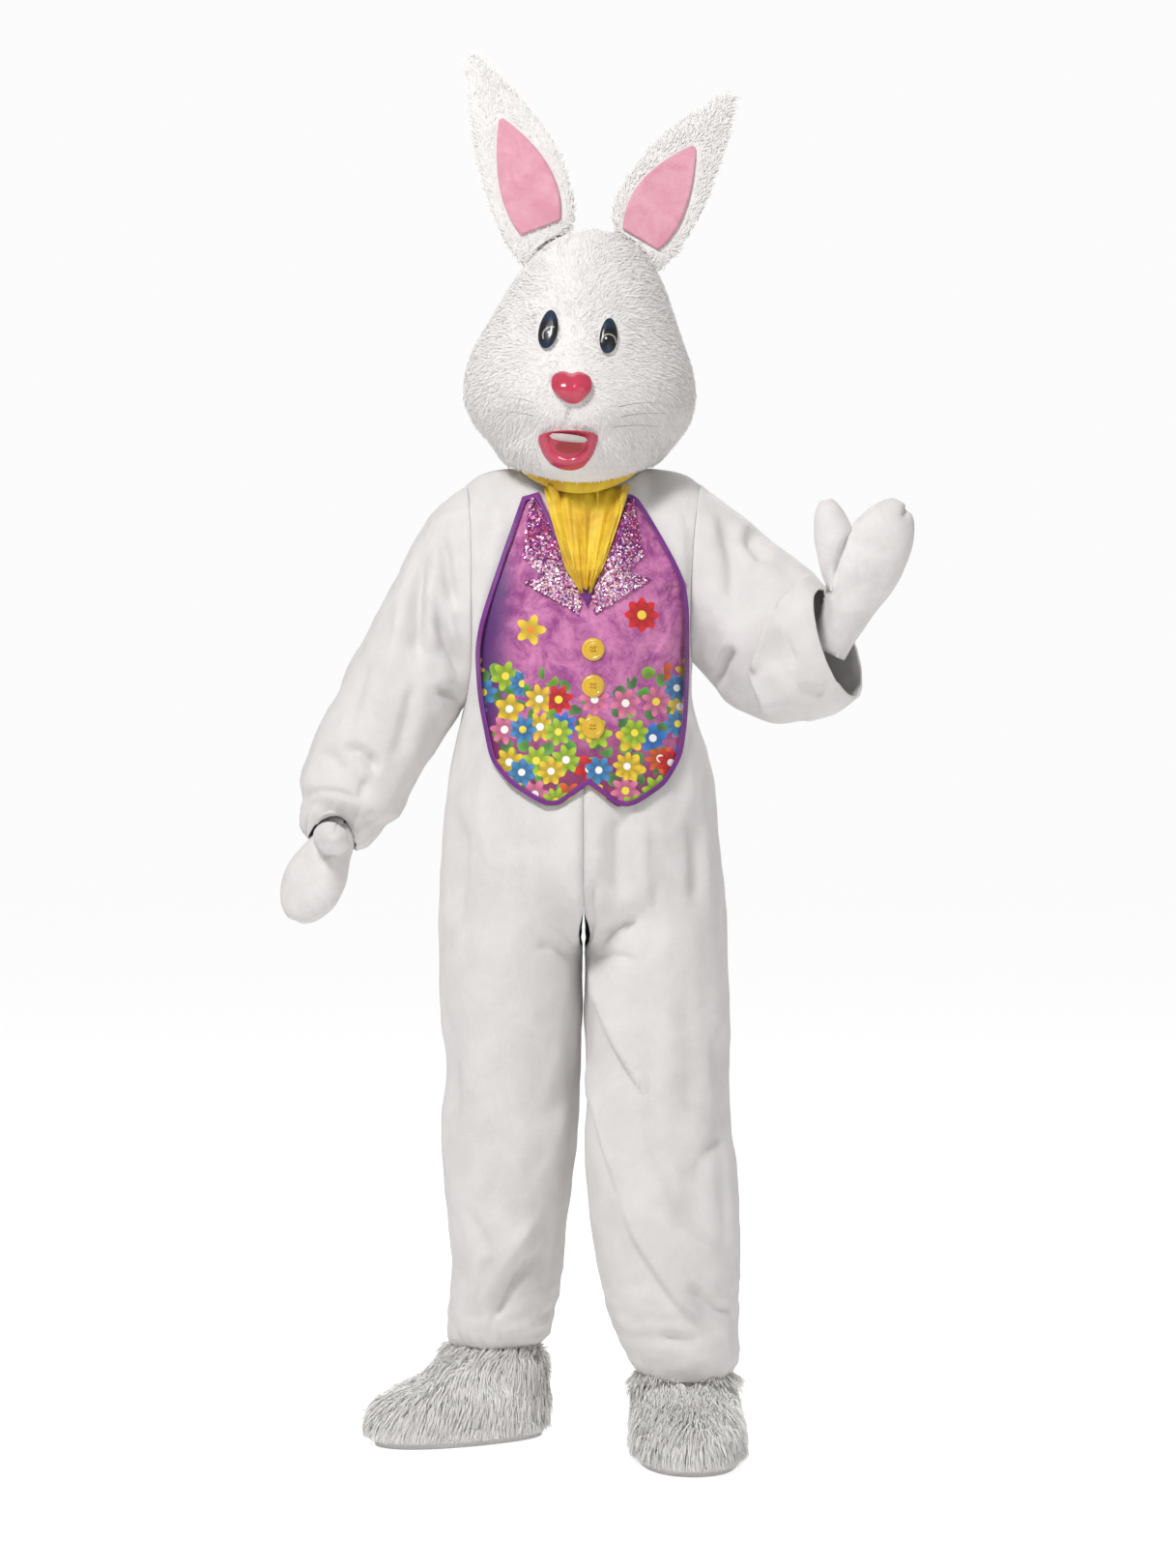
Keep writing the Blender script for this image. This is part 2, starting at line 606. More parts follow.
# The mitts: smooth plush, hand and thumb cut in one, drawn in at the wrist by elastic, with a gather
# line and small puckers there.
MITT_LIGHT = (0.8, 0.775, 0.765)
MITT_SHADE = (0.715, 0.682, 0.672)
MITT_CREASES = crease_rows(FRONT, [
    (-350, 955, -342, 929, 4, 4, -5), (-341, 932, -368, 904, -5, 4, -6),
    (-372, 900, -398, 862, 4, 6, -4), (-400, 850, -426, 800, 4, 9, -3),
    (396, 1356, 356, 1262, -6, 6, -8), (374, 1270, 440, 1262, 6, 6, -5),
    (352, 1320, 346, 1262, 2, 4, -4), (470, 1392, 458, 1366, 2, 6, -6),
]) + crease_rows(BACK, [
    (396, 1350, 370, 1270, -6, 6, -6), (-372, 900, -398, 850, 4, 6, -4),
])
Pucker = namedtuple("Pucker", "x height reach rays depth")
MITT_LINES = {
    "left": [((-0.358, -0.045, 0.93), (-0.434, -0.1, 0.8)),
             ((-0.362, -0.052, 0.915), (-0.382, -0.11, 0.93))],
    "right": [((0.356, -0.09, 1.19), (0.445, -0.1, 1.37)),
              ((0.358, -0.092, 1.25), (0.35, -0.098, 1.37))],
}
MITT_PUCKERS = {
    "left": Pucker(-0.34, 0.93, 0.02, 7, 0.0012), "right": Pucker(0.354, 1.246, 0.026, 9, 0.0026)}
mitt_plush = plush_material("mitt_plush", MITT_LIGHT, MITT_SHADE, 900.0, 22.0, 0.0007)
for side, lines in MITT_LINES.items():
    name = f"mitt_{side}"
    mitt = copy_node(name, f"{name}_plush", 2, mitt_plush, crease_angle=75)
    points = points_of(mitt)
    outward = outward_of(points, np.array(lines) - drop, True)
    pucker = MITT_PUCKERS[side]
    across, up = points[:, 0] - pucker.x, heights_of(points) - pucker.height
    rays = np.cos(np.arctan2(up, across) * pucker.rays) * np.exp(-(np.hypot(across, up) / pucker.reach) ** 2)
    depth = crease_depth(points, MITT_CREASES) + rays * pucker.depth
    depth += slow_noise(points, (30, 30, 30), 7) * 0.0016
    set_points(mitt, points + outward * depth[:, None])
    place_piece(mitt, name)


# The head mask: a light moulded shell covered in short fleece fur, in a face half and a back half, open
# at the neck. The fur is brushed down and back from the nose.
HEAD_FUR_LIGHT = (0.9, 0.876, 0.862)
HEAD_FUR_SHADE = (0.78, 0.752, 0.738)
MASK_INSET = 0.004
MASK_STRAND = 0.011
MASK_STRAND_WIDTH = 0.0014
MASK_STRANDS = {"face": 28000, "back": 15000}
MASK_LEVELS = {"face": 3, "back": 2}
MASK_MIDDLE = [((-0.01, 0.0, 1.53 - HOLD_HEIGHT), (-0.005, 0.0, 1.66 - HOLD_HEIGHT))]
MASK_RIM_HEIGHT = 1.462
NOSE_PLACE = np.array((-0.0235, -0.19, 1.551 - HOLD_HEIGHT))
CLEFT_X, CLEFT_WIDTH, CLEFT_DEPTH = -0.0282, 0.0035, 0.005
CLEFT_HEIGHTS = (1.492, 1.54)
FacePart = namedtuple("FacePart", "x height half_width half_height")
BARE_PARTS = [
    FacePart(-0.0575, 1.639, 0.015, 0.03),
    FacePart(0.03, 1.629, 0.014, 0.0275),
    FacePart(-0.0235, 1.551, 0.029, 0.0255),
    FacePart(-0.029, 1.462, 0.045, 0.029),
]
PUFFS = [FacePart(-0.058, 1.512, 0.03, 0.022), FacePart(0.004, 1.508, 0.03, 0.022)]
PUFF_RISE = 0.0035
head_skin = plush_material("head_skin", HEAD_FUR_LIGHT, HEAD_FUR_SHADE)
head_fur = fur_material("head_fur", HEAD_FUR_LIGHT, HEAD_FUR_SHADE)


def off_face_parts(centres, ways=None):
    """One where fur grows, nought on the eyes, nose and mouth."""
    grows = np.ones(len(centres))
    for part in BARE_PARTS:
        across = (centres[:, 0] - part.x) / part.half_width
        up = (heights_of(centres) - part.height) / part.half_height
        grows[(across ** 2 + up ** 2 < 1) & (centres[:, 1] < 0)] = 0
    return grows


def muzzle_relief(points):
    """The two puffs beside the cleft under the nose."""
    heights = heights_of(points)
    front = ease(-points[:, 1] / 0.08)
    rise = np.zeros(len(points))
    for puff in PUFFS:
        across, up = (points[:, 0] - puff.x) / puff.half_width, (heights - puff.height) / puff.half_height
        rise += PUFF_RISE * np.exp(-across ** 2 - up ** 2)
    low_end, high_end = CLEFT_HEIGHTS
    along = ease((heights - low_end) / 0.008) * ease((high_end - heights) / 0.008)
    rise -= CLEFT_DEPTH * np.exp(-((points[:, 0] - CLEFT_X) / CLEFT_WIDTH) ** 2) * along
    return rise * front


def mask_inset(points):
    over_rim = ease((heights_of(points) - MASK_RIM_HEIGHT) / 0.03)
    return (MASK_INSET * over_rim - muzzle_relief(points)) * off_face_parts(points)


mask_outside = outer_side(MASK_MIDDLE)
for number, (half, count) in enumerate(MASK_STRANDS.items()):
    name = f"mask_{half}"
    skin = copy_node(name, f"{name}_skin", MASK_LEVELS[half], head_skin)
    draw_in(skin, MASK_MIDDLE, mask_inset)
    random = np.random.default_rng(40 + number)

    def mask_grows(centres, ways):
        return off_face_parts(centres) * mask_outside(centres, ways)

    roots, ways = sample_faces(skin, count, random, mask_grows)
    combs = unit(roots - NOSE_PLACE) * 0.8 + np.array((0, 0.25, -0.55))
    lengths = MASK_STRAND * (0.6 + 0.7 * random.random(len(roots)))
    near_nose = np.linalg.norm(roots - NOSE_PLACE, axis=1)
    lengths *= 0.5 + 0.5 * ease((near_nose - 0.04) / 0.1)
    lengths *= 0.35 + 0.65 * ease((heights_of(roots) - MASK_RIM_HEIGHT + 0.034) / 0.03)
    fur = grow_fur(f"{name}_fur", (roots, ways), combs, lengths, random, head_fur,
                   MASK_STRAND_WIDTH, rise=0.26, clumps=0.22, droop=0.15, root_tone=0.72)
    place_piece(skin, name)
    place_piece(fur)


# The ears: two leaf shapes of fur over a stiff core, longer fur at the edges and tips, each with a
# lining of pink plush sewn to its front.
PINK_LIGHT = (0.77, 0.395, 0.47)
PINK_SHADE = (0.69, 0.3, 0.385)
EAR_STRANDS = 9000
EAR_STRAND = 0.024
EAR_STRAND_WIDTH = 0.0016
EAR_BASE = 0.04
EAR_INSET = 0.001
pink_plush = plush_material("ear_lining_plush", PINK_LIGHT, PINK_SHADE, 600.0, 30.0, 0.0012)
EAR_WAYS = {"left": (-0.119, 0.307), "right": (0.156, 0.26)}
for number, (side, way) in enumerate(EAR_WAYS.items()):
    name = f"ear_{side}"
    skin = copy_node(name, f"{name}_skin", 2, head_skin)
    points, normals = points_of(skin), points_of(skin, "normal")
    axis = np.array((way[0], 0.0, way[1]))
    axis /= np.linalg.norm(axis)
    to_tip = (points @ axis).max() - points @ axis
    set_points(skin, points - normals * (EAR_INSET * ease(to_tip / 0.12))[:, None])
    lining_name = f"ear_lining_{side}"
    lining = copy_node(lining_name, f"{lining_name}_plush", 2, pink_plush)
    lining_tree = joined_tree([lining_name])
    random = np.random.default_rng(60 + number)
    roots, ways = sample_faces(skin, EAR_STRANDS, random)
    kept = distance_to(roots, lining_tree, 0.01) > 0.005
    roots, ways = roots[kept], ways[kept]
    edge = 1 - np.abs(ways[:, 1])
    combs = np.tile(axis, (len(roots), 1)) * 0.9 + ways * np.array((1.0, 0, 1.0)) + np.array((0, 0, -0.1))
    over_base = roots @ axis - (points @ axis).min()
    at_base = ease((EAR_BASE - over_base) / EAR_BASE)[:, None]
    combs = combs * (1 - at_base) + (ways * np.array((1.0, 1.0, 0)) - axis) * at_base
    lengths = EAR_STRAND * (0.4 + 0.6 * edge) * (0.5 + 0.7 * random.random(len(roots)))
    flat_sides = np.zeros_like(ways)
    flat_sides[:, 1] = np.where(ways[:, 1] < 0.35, -1.0, 1.0)
    fur = grow_fur(f"{name}_fur", (roots, ways), combs, lengths, random, head_fur,
                   EAR_STRAND_WIDTH, rise=0.34, clumps=0.3, droop=0.1, root_tone=0.8,
                   facings=unit(ways * 0.3 + flat_sides))
    place_piece(skin, name)
    place_piece(fur)
    place_piece(lining, lining_name)


# The face: glossy dark vinyl eyes with a pale arc and a highlight, a glossy pink-red nose, a moulded
# open mouth with a dull red back and a teeth strip, and thin thread whiskers. All are glued or sewn on.
def glossy_material(name, colour, roughness, coat=0.5):
    darker = tuple(part * 0.8 for part in colour)
    return nap_material(name, colour, darker, 120.0, 25.0, 0.0002, Roughness=roughness, Coat_Weight=coat,
                        Coat_Roughness=0.06)


def painted_material(name, roughness, coat, metallic=0.0):
    """Colour from the piece's own painted attribute."""
    material, tree, shader = start_material(name)
    paint = add_node(tree, "Attribute", {"attribute_name": "paint"}).outputs["Color"]
    set_inputs(tree, shader, Base_Color=paint, Roughness=roughness, Metallic=metallic, Coat_Weight=coat,
               Coat_Roughness=0.06)
    return material


def paint_points(piece, colours):
    layer = piece.data.attributes.new("paint", "FLOAT_COLOR", "POINT")
    full = np.concatenate((colours, np.ones((len(colours), 1))), axis=1)
    layer.data.foreach_set("color", full.astype(np.float32).ravel())


EYE_BLUE = np.array((0.007, 0.024, 0.052))
EYE_BLACK = np.array((0.006, 0.006, 0.008))
EYE_NAVY = np.array((0.01, 0.02, 0.05))
EYE_ARC = np.array((0.42, 0.38, 0.34))
EYE_DOT = np.array((0.9, 0.88, 0.85))
Eye = namedtuple("Eye", "pupil_x pupil_height arc_radius from_turn to_turn lean")
EYES = {
    "eye_left": Eye(-0.053, 1.629, 0.0125, 70, 205, 0.004),
    "eye_right": Eye(0.03, 1.62, 0.0105, -10, 190, 0.001),
}
eye_vinyl = painted_material("eye_vinyl", 0.32, 0.25)
for node, eye in EYES.items():
    piece = copy_node(node, f"{node}_vinyl", 3, eye_vinyl)
    low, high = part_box(node)
    points = points_of(piece)
    share = (points[:, 2] - low.z) / (high.z - low.z)
    middle_x = (low.x + high.x) / 2 + (share - 0.5) * eye.lean
    points[:, 0] = middle_x + (points[:, 0] - (low.x + high.x) / 2) * (1.08 - 0.24 * share)
    set_points(piece, points)
    top, foot = ease((share - 0.66) / 0.1)[:, None], ease((0.24 - share) / 0.1)[:, None]
    colours = EYE_BLACK + (EYE_BLUE - EYE_BLACK) * top + (EYE_NAVY - EYE_BLACK) * foot
    across, up = points[:, 0] - eye.pupil_x, heights_of(points) - eye.pupil_height
    turn = (np.degrees(np.arctan2(up, across)) + 90) % 360 - 90
    ring = ease(1.6 - np.abs(np.hypot(across, up) - eye.arc_radius) / 0.0009)
    ring *= (turn > eye.from_turn) & (turn < eye.to_turn)
    dot = ease(1.6 - np.hypot(across + 0.004, up - 0.0045) / 0.0014)
    colours += (EYE_ARC - colours) * ring[:, None]
    colours += (EYE_DOT - colours) * dot[:, None]
    paint_points(piece, colours)
    place_piece(piece, node)

NOSE_NOTCH = 0.004
LIP_RAISE = 0.0045
TEETH_WIDEN, TEETH_DEEPEN, TEETH_RAISE, TEETH_FORWARD = 1.7, 1.8, 0.0035, 0.006
MOUTH_WIDEN, MOUTH_DEEPEN = 1.16, 1.2
FACE_PIECES = {
    "nose": ("nose_vinyl", (0.6, 0.045, 0.095), 0.22),
    "mouth_lip": ("lip_vinyl", (0.59, 0.05, 0.105), 0.24),
    "teeth": ("teeth_white", (0.56, 0.5, 0.47), 0.35),
}
for node, (slot_name, colour, roughness) in FACE_PIECES.items():
    sharp = 30 if node == "teeth" else 50
    piece = copy_node(node, f"{node}_vinyl", 2, glossy_material(f"{node}_vinyl", colour, roughness), sharp)
    points = points_of(piece)
    low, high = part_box(node)
    middle_x = (low.x + high.x) / 2
    share = (points[:, 2] - low.z) / (high.z - low.z)
    if node == "nose":
        points[:, 0] = middle_x + (points[:, 0] - middle_x) * (1.12 + 0.3 * ease((0.75 - share) / 0.5))
        notch = np.exp(-((points[:, 0] - middle_x) / 0.007) ** 2) * ease((share - 0.6) / 0.4)
        points[:, 2] -= NOSE_NOTCH * notch
    if node == "mouth_lip":
        points[:, 2] += LIP_RAISE * np.sin(math.pi * np.clip(share, 0, 1))
    if node == "teeth":
        points[:, 0] = middle_x + (points[:, 0] - middle_x) * TEETH_WIDEN
        points[:, 2] = high.z + (points[:, 2] - high.z) * TEETH_DEEPEN + TEETH_RAISE
        points[:, 1] -= TEETH_FORWARD
    set_points(piece, points)
    place_piece(piece, node)

MOUTH_RED = np.array((0.4, 0.01, 0.016))
MOUTH_SLOPE = np.array((0.5, 0.034, 0.075))
THROAT = FacePart(-0.027, 1.466, 0.02, 0.0095)
mouth = copy_node("mouth_back", "mouth_back_vinyl", 3, painted_material("mouth_red", 0.4, 0.4))
low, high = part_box("mouth_back")
points = points_of(mouth)
middle_x = (low.x + high.x) / 2
points[:, 0] = middle_x + (points[:, 0] - middle_x) * MOUTH_WIDEN
points[:, 2] = high.z + (points[:, 2] - high.z) * MOUTH_DEEPEN + LIP_RAISE
set_points(mouth, points)
across = (points[:, 0] - THROAT.x) / THROAT.half_width
up = (heights_of(points) - THROAT.height) / THROAT.half_height
inside = ease((1.12 - np.hypot(across, up)) / 0.24)[:, None]
paint_points(mouth, MOUTH_SLOPE + (MOUTH_RED - MOUTH_SLOPE) * inside)
place_piece(mouth, "mouth_back")

Whisker = namedtuple("Whisker", "root_x root_h tip_x tip_h")
WHISKERS = [
    Whisker(-0.078, 1.529, -0.13, 1.541),
    Whisker(-0.08, 1.511, -0.134, 1.52),
    Whisker(0.044, 1.523, 0.104, 1.533),
    Whisker(0.048, 1.509, 0.112, 1.518),
    Whisker(0.036, 1.494, 0.102, 1.499),
]
WHISKER_RADIUS = 0.0005
whisker_thread = glossy_material("whisker_thread", (0.23, 0.19, 0.165), 0.5, 0.1)
mask_tree = joined_tree(["mask_face"])
for number, whisker in enumerate(WHISKERS):
    bpy.ops.curve.primitive_nurbs_path_add()
    thread = bpy.context.object
    thread.name = f"whisker_{number + 1}"
    path = thread.data.splines[0].points
    for step, point in enumerate(path):
        along = step / (len(path) - 1)
        x = whisker.root_x + (whisker.tip_x - whisker.root_x) * along
        height = whisker.root_h + (whisker.tip_h - whisker.root_h) * along
        z = height - HOLD_HEIGHT + 0.003 * math.sin(math.pi * along)
        place = mask_tree.ray_cast(Vector((x, -1, z)), Vector((0, 1, 0)))[0]
        point.co = (x, place.y - 0.003 - 0.006 * along, z, 1)
        point.radius = 1 - 0.6 * along
    thread.data.bevel_depth = WHISKER_RADIUS
    thread.data.bevel_resolution = 1
    thread.data.use_fill_caps = True
    thread.data.materials.append(whisker_thread)
    bpy.ops.object.convert(target="MESH")
    bpy.ops.object.select_all(action="DESELECT")
    place_piece(thread)


# The neck band and ascot: golden-yellow satin, the band a folded strip round the neck and the ascot a
# rectangle gathered to it in soft vertical folds, drawn in towards its tip.
SATIN_LIGHT = (0.86, 0.62, 0.03)
SATIN_SHADE = (0.64, 0.37, 0.012)
ASCOT_TOP = 1.41
ASCOT_TIP = 1.285
ASCOT_HEM = 1.29
ASCOT_HALF_TOP = 0.066
ASCOT_HALF_TIP = 0.018
ASCOT_MIDDLE = -0.002
ASCOT_PLEATS = 8
ASCOT_PLEAT_DEPTH = 0.0045
ASCOT_TIP_DROP = 0.016
BAND_FORWARD = 0.024
BAND_DROP = 0.007


def satin_material(name, light, shade):
    return nap_material(name, light, shade, 1400.0, 20.0, 0.0003, Roughness=0.5, Sheen_Weight=0.15)


yellow_satin = satin_material("yellow_satin", SATIN_LIGHT, SATIN_SHADE)
band = copy_node("neck_band", "neck_band_satin", 2, yellow_satin)
points = points_of(band)
band_turn = np.arctan2(points[:, 1], points[:, 0])
band_line = [((-0.012, 0, -0.1), (-0.012, 0, 0.1))]
small_folds = np.cos(band_turn * 44 + 3 * slow_noise(points, (20, 20, 60), 8)) * 0.0005
points = points + outward_of(points, band_line) * small_folds[:, None]
to_front = ease(-points[:, 1] / 0.075)
points[:, 1] -= BAND_FORWARD * to_front
points[:, 2] -= BAND_DROP * to_front
set_points(band, points)
ascot = copy_node("ascot", "ascot_satin", 2, yellow_satin)
points = points_of(ascot)
fall = np.clip((ASCOT_TOP - heights_of(points)) / (ASCOT_TOP - ASCOT_TIP), 0, 1)
half_width = ASCOT_HALF_TOP + (ASCOT_HALF_TIP - ASCOT_HALF_TOP) * fall
share = (points[:, 0] - ASCOT_MIDDLE) / half_width
wander = slow_noise(points * np.array((0, 0, 1)), (1, 1, 14), 9) * 0.12
pleats = np.cos((share + wander) * math.pi * ASCOT_PLEATS / 2 * 1.13)
points[:, 1] -= ASCOT_PLEAT_DEPTH * (0.5 + 0.5 * pleats) * (1 - 0.5 * fall)
ruffle = np.exp(-((heights_of(points) - ASCOT_HEM) / 0.004) ** 2)
points[:, 1] -= (0.0035 + 0.0015 * np.cos(points[:, 0] * 900)) * ruffle
at_tip = ease((ASCOT_HEM - heights_of(points)) / 0.014)
points[:, 0] = ASCOT_MIDDLE + (points[:, 0] - ASCOT_MIDDLE) * (1 - 0.55 * at_tip)
points[:, 2] -= ASCOT_TIP_DROP * at_tip
set_points(ascot, points)
place_piece(band, "neck_band")
place_piece(ascot, "ascot")


# The vest front: one printed panel of thin crushed cloth, bound in purple satin, with two notched lapels
# covered in sequins and three yellow buttons sewn to it. The print is scattered garden flowers and
# leaves in bright colours towards the hem, over a mottled purple ground.
VEST_LIGHT = (0.64, 0.215, 0.43)
VEST_DARK = (0.27, 0.035, 0.21)
VEST_VIOLET = (0.095, 0.02, 0.15)
VEST_DEEP = (0.19, 0.01, 0.07)
FLOWER_LIMIT = 1.135 - HOLD_HEIGHT
CENTRE_EDGE_X = -0.009
BINDING_SPREAD = 1.014
PANEL_SPREAD = 0.988
VEST_LIFT = 0.0016


def calculate(tree, operation, *values):
    """One arithmetic node, fed by numbers or outputs."""
    node = add_node(tree, "Math", {"operation": operation})
    for socket, value in zip(node.inputs, values):
        feed(tree, socket, value)
    return node.outputs["Value"]


def soft_step(tree, value, low_end, high_end):
    """Nought at one end and one at the other."""
    return add_node(tree, "MapRange", {"interpolation_type": "SMOOTHSTEP"}, Value=value, From_Min=low_end,
                    From_Max=high_end).outputs["Result"]


def build_flower_group():
    """A round flower seen face on: where its petals and its heart lie, and a shade in its petals."""
    group, ends_in, ends_out = new_group(
        "flower_shape", {"Across": 0.0, "Up": 0.0, "Petals": 5.0, "Notch": 0.25, "Turn": 0.0},
        ["Petal", "Heart", "Shade"])
    across, up, petals, notch, turned = ends_in.outputs[:5]
    work = partial(calculate, group)
    far = work("SQRT", work("ADD", work("MULTIPLY", across, across), work("MULTIPLY", up, up)))
    turn = work("ADD", work("ARCTAN2", up, across), turned)
    wave = work("COSINE", work("MULTIPLY", turn, petals))
    rim = work("ADD", work("SUBTRACT", 1.0, notch), work("MULTIPLY", wave, notch))
    set_inputs(
        group, ends_out, Petal=soft_step(group, work("SUBTRACT", rim, far), -0.02, 0.06),
        Heart=soft_step(group, work("SUBTRACT", 0.26, far), -0.02, 0.04),
        Shade=work("MULTIPLY", soft_step(group, far, 0.2, 1.0), soft_step(group, wave, -1.0, 0.6)))
    return group


flower_shape = build_flower_group()


def pick_colour(tree, factor, colours):
    """One of some colours by a random number."""
    ramp = add_node(tree, "ValToRGB", Fac=factor)
    ramp.color_ramp.interpolation = "CONSTANT"
    elements = ramp.color_ramp.elements
    while len(elements) < len(colours):
        elements.new(0.5)
    for step, colour in enumerate(colours):
        elements[step].position = step / len(colours)
        elements[step].color = (*colour, 1)
    return ramp.outputs["Color"]


vest_cloth, tree, shader = start_material("vest_print")
work = partial(calculate, tree)
place = add_node(tree, "TexCoord").outputs["Object"]
axes = add_node(tree, "SeparateXYZ", Vector=place).outputs
crush = add_node(
    tree, "TexNoise", Vector=place, Scale=30.0, Detail=6.0, Roughness=0.74, Distortion=0.45).outputs["Fac"]
slow = add_node(tree, "TexNoise", Vector=place, Scale=7.0).outputs["Fac"]
ground = mix_colours(tree, soft_step(tree, crush, 0.3, 0.66), VEST_DARK, VEST_LIGHT)
edge_shade = soft_step(tree, work("ADD", axes["X"], work("MULTIPLY", slow, -0.05)), -0.125, -0.165)
ground = mix_colours(tree, edge_shade, ground, VEST_VIOLET)
low_shade = soft_step(tree, work("ADD", axes["Z"], work("MULTIPLY", slow, 0.1)),
                      1.15 - HOLD_HEIGHT, 1.04 - HOLD_HEIGHT)
ground = mix_colours(tree, work("MULTIPLY", low_shade, 0.85), ground, VEST_DEEP)


def place_flower(offsets, size, **inputs):
    """A flower of one size, at its offsets across and up."""
    across, up = (work("DIVIDE", offset, size) for offset in offsets)
    return add_node(tree, "Group", {"node_tree": flower_shape}, Across=across, Up=up, **inputs).outputs


Scatter = namedtuple("Scatter", "cell size petals notch looseness limit shift")
RED, YELLOW = (0.7, 0.015, 0.02), (0.88, 0.6, 0.03)
FLOWER_SCATTERS = [
    Scatter(0.028, 0.015, 1, 0.44, 0.9, 0.004, 0.37),
    Scatter(0.044, 0.0225, 5, 0.17, 0.45, 0.0, 0.0),
    Scatter(0.056, 0.021, 6, 0.13, 0.4, -0.012, 0.73),
]
FLOWER_COLOURS = [
    [(0.12, 0.38, 0.06), (0.24, 0.48, 0.04), (0.1, 0.25, 0.08)],
    [RED, YELLOW, (0.04, 0.2, 0.64), (0.8, 0.2, 0.36), (0.42, 0.62, 0.03), (0.78, 0.12, 0.02), YELLOW],
    [YELLOW, RED, (0.4, 0.6, 0.03), (0.06, 0.26, 0.56)],
]
HEART_COLOURS = [(0.88, 0.7, 0.06), (0.9, 0.88, 0.82)]
for scatter, colours in zip(FLOWER_SCATTERS, FLOWER_COLOURS):
    blossom = scatter.petals > 2
    flat = add_node(tree, "CombineXYZ", X=work("ADD", axes["X"], scatter.shift), Y=axes["Z"]).outputs["Vector"]
    cells = add_node(tree, "TexVoronoi", {"voronoi_dimensions": "2D"}, Vector=flat, Scale=1 / scatter.cell,
                     Randomness=scatter.looseness).outputs
    offset = add_node(tree, "VectorMath", {"operation": "SUBTRACT"})
    feed(tree, offset.inputs[0], flat)
    feed(tree, offset.inputs[1], cells["Position"])
    away = add_node(tree, "SeparateXYZ", Vector=offset.outputs["Vector"]).outputs
    pick = add_node(tree, "SeparateColor", Color=cells["Color"]).outputs
    more_petals = work("ROUND", work("MULTIPLY", pick["Green"], 3.0 if blossom else 0.0))
    flower = place_flower((away["X"], away["Y"]), scatter.size, Notch=scatter.notch,
                          Petals=work("ADD", scatter.petals, more_petals),
                          Turn=work("MULTIPLY", pick["Blue"], 2 * math.pi))
    centre = add_node(tree, "SeparateXYZ", Vector=cells["Position"]).outputs["Y"]
    rim_rise = work("MULTIPLY", work("ABSOLUTE", axes["X"]), 0.22)
    shown = work("LESS_THAN", centre, work("ADD", FLOWER_LIMIT - 0.018 + scatter.limit, rim_rise))
    petal_colour = pick_colour(tree, pick["Red"], colours)
    darker = add_node(tree, "HueSaturation", Value=0.55, Color=petal_colour).outputs["Color"]
    shaded = mix_colours(tree, flower["Shade"], darker, petal_colour)
    if blossom:
        shaded = mix_colours(tree, flower["Heart"], shaded, pick_colour(tree, pick["Blue"], HEART_COLOURS))
    ground = mix_colours(tree, work("MULTIPLY", flower["Petal"], shown), ground, shaded)

Spot = namedtuple("Spot", "x height size petals notch colour heart")
CHEST_FLOWERS = [
    Spot(-0.083, 1.203, 0.023, 5, 0.2, (0.9, 0.62, 0.04), (0.78, 0.25, 0.02)),
    Spot(0.078, 1.225, 0.026, 8, 0.12, (0.72, 0.015, 0.02), (0.88, 0.64, 0.05)),
]
for spot in CHEST_FLOWERS:
    offsets = work("SUBTRACT", axes["X"], spot.x), work("SUBTRACT", axes["Z"], spot.height - HOLD_HEIGHT)
    flower = place_flower(offsets, spot.size, Petals=spot.petals, Notch=spot.notch)
    petals = mix_colours(tree, flower["Shade"], tuple(part * 0.6 for part in spot.colour), spot.colour)
    petals = mix_colours(tree, flower["Heart"], petals, spot.heart)
    ground = mix_colours(tree, flower["Petal"], ground, petals)
bump = add_node(tree, "Bump", Distance=0.0016, Height=crush)
set_inputs(tree, shader, Base_Color=ground, Roughness=0.55, Sheen_Weight=0.15, Normal=bump.outputs["Normal"])

binding_satin = satin_material("binding_satin", (0.2, 0.018, 0.25), (0.12, 0.01, 0.165))
lapel_ground = satin_material("lapel_ground", (0.33, 0.05, 0.23), (0.18, 0.02, 0.13))
panel = copy_node("vest_panel", "vest_panel_print", 2, vest_cloth)
points = points_of(panel)
step_up = ease((points[:, 0] - CENTRE_EDGE_X) / 0.0025) * ease((0.05 - points[:, 0]) / 0.055)
wrinkles = 0.5 + 0.5 * slow_noise(points, (34, 34, 20), 10)
from_binding = ease((distance_to(points, joined_tree(["vest_binding"]), 0.03) - 0.006) / 0.022)
points[:, 1] -= (0.0016 * step_up + 0.0024 * wrinkles) * from_binding
points[:, 1] -= VEST_LIFT
points[:, 0] = CENTRE_EDGE_X + (points[:, 0] - CENTRE_EDGE_X) * PANEL_SPREAD
set_points(panel, points)
binding = copy_node("vest_binding", "vest_binding_satin", 2, binding_satin)
points = points_of(binding)
points[:, 0] = CENTRE_EDGE_X + (points[:, 0] - CENTRE_EDGE_X) * BINDING_SPREAD
points[:, 1] -= VEST_LIFT
set_points(binding, points)
place_piece(panel, "vest_panel")
place_piece(binding, "vest_binding")

